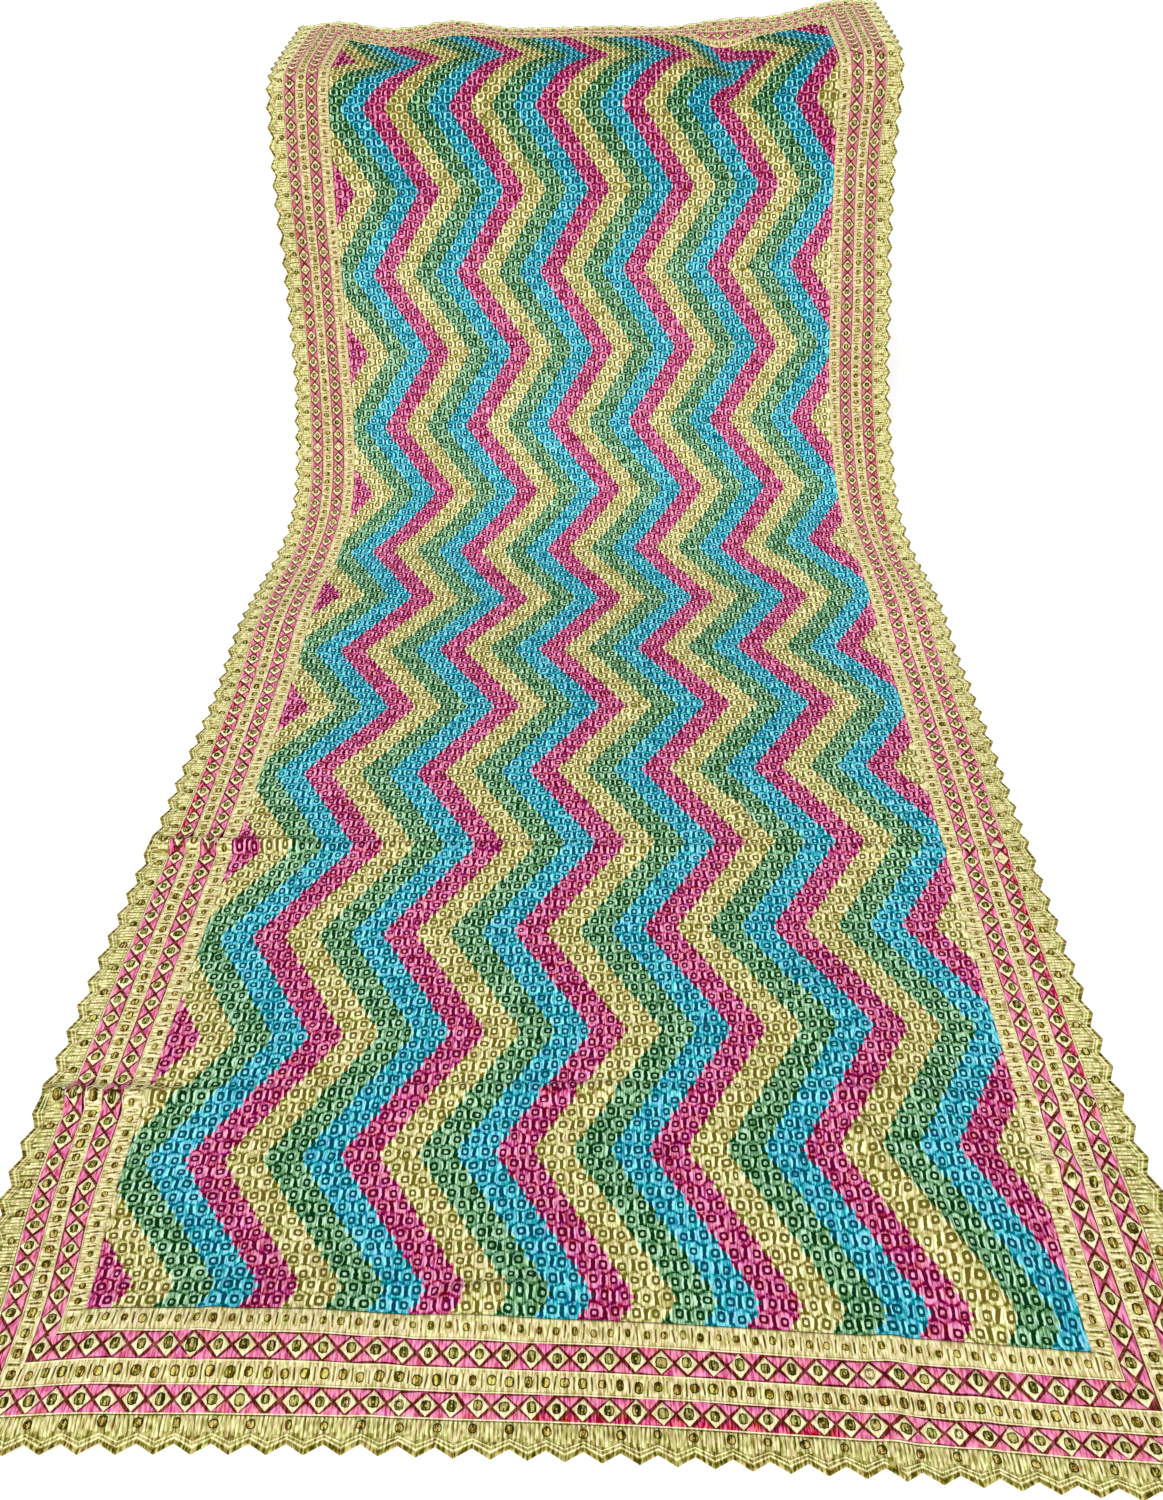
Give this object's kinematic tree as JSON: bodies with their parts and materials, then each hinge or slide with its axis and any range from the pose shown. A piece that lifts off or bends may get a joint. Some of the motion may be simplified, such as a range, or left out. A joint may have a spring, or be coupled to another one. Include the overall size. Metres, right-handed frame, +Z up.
{
  "type": "phulkari shawl",
  "caption": "Rectangular embroidered shawl lying on the floor and sweeping up over a raised edge, with chevron field, banded borders and pointed edging.",
  "frame": {"origin": "middle of the footprint on the floor", "axes": "+Z up; +Y along the shawl from the near end on the floor to the raised far end; +X across it, to the right seen from the near end"},
  "size_m": [1.0184, 1.9726, 0.592],
  "materials": {
    "chevron_field": "dense silk-like embroidery in green, blue, pink and pale gold zigzags",
    "border_band": "pink and pale gold embroidered strips with cream diamonds and small rings",
    "gold_edging": "pale gold stitched edging with a darker gold pointed rim"
  },
  "bodies": {
    "root": {"field": "chevron_field", "band_left": "border_band", "band_right": "border_band", "band_near": "border_band", "band_far": "border_band", "edging_left": "gold_edging", "edging_right": "gold_edging", "edging_near": "gold_edging", "edging_far": "gold_edging"}
  },
  "joints": []
}
